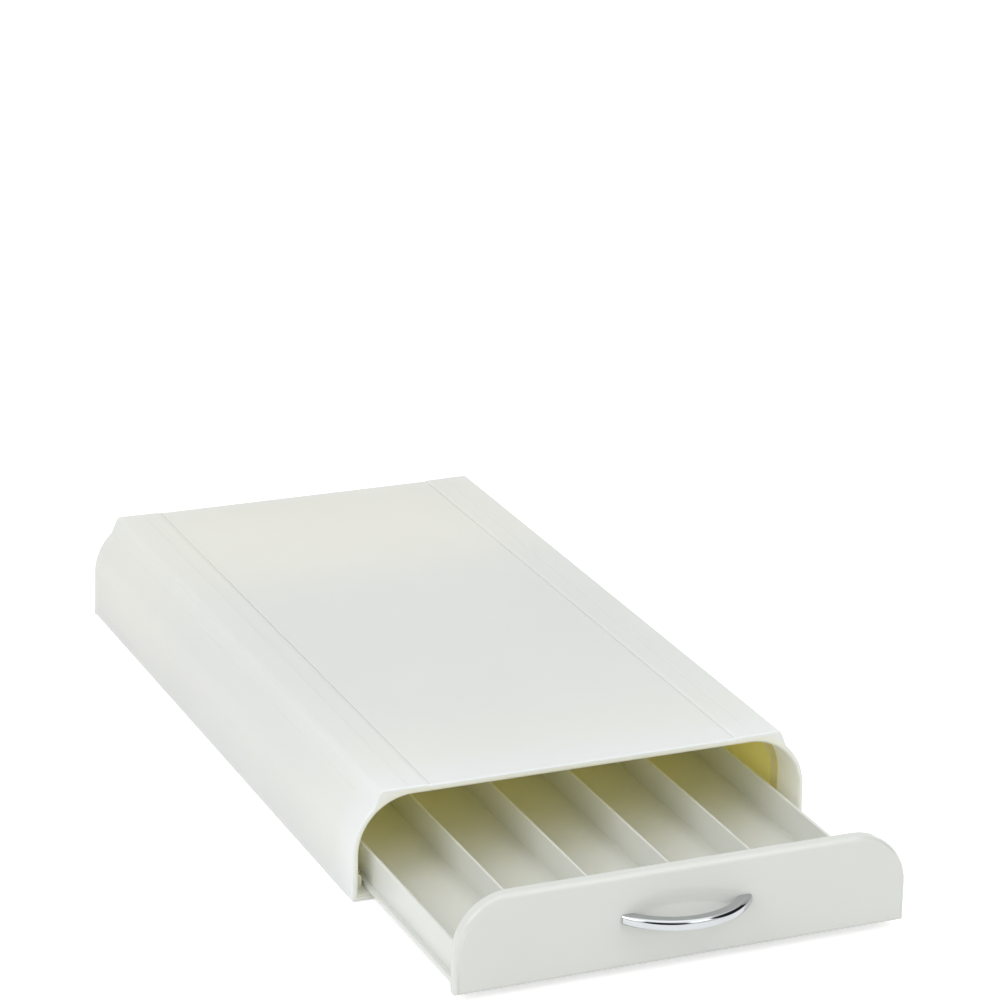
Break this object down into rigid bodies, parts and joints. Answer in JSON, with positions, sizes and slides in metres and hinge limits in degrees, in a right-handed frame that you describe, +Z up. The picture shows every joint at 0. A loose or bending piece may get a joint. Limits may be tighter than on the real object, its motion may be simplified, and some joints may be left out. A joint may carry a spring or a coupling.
{
  "type": "coffee pod drawer",
  "caption": "Low white sleeve that a coffee machine stands on, with a shallow lane-divided capsule drawer sliding out at the front on a chrome bow handle.",
  "frame": {"origin": "on the counter, under the middle of the unit's box as it stands with the drawer part open", "axes": "+X right across the front, +Y from the drawer's front to the back, +Z up; the drawer opens along -Y"},
  "size_m": [0.23, 0.5184, 0.054],
  "materials": {
    "housing_plastic": "gloss moulded",
    "tray_plastic": "gloss moulded",
    "panel_plastic": "high gloss moulded",
    "clip_plastic": "satin moulded",
    "handle_chrome": "polished plating",
    "screw_steel": "zinc plated",
    "foot_rubber": "matt foam"
  },
  "bodies": {
    "housing_body": {"housing": "housing_plastic", "foot_front_left": "foot_rubber", "foot_front_right": "foot_rubber", "foot_rear_left": "foot_rubber", "foot_rear_right": "foot_rubber", "stop_clip_left": "clip_plastic", "stop_clip_right": "clip_plastic"},
    "drawer_body": {"tray": "tray_plastic", "divider_1": "tray_plastic", "divider_2": "tray_plastic", "divider_3": "tray_plastic", "divider_4": "tray_plastic", "front_panel": "panel_plastic", "panel_screw_1": "screw_steel", "panel_screw_2": "screw_steel", "panel_screw_3": "screw_steel", "panel_screw_4": "screw_steel", "handle": "handle_chrome", "handle_screw_left": "screw_steel", "handle_screw_right": "screw_steel"}
  },
  "joints": [
    {"name": "drawer_slide", "type": "slide", "parent": "housing_body", "child": "drawer_body", "axis": [0, -1, 0], "range_m": [-0.1115, 0.1885]}
  ]
}
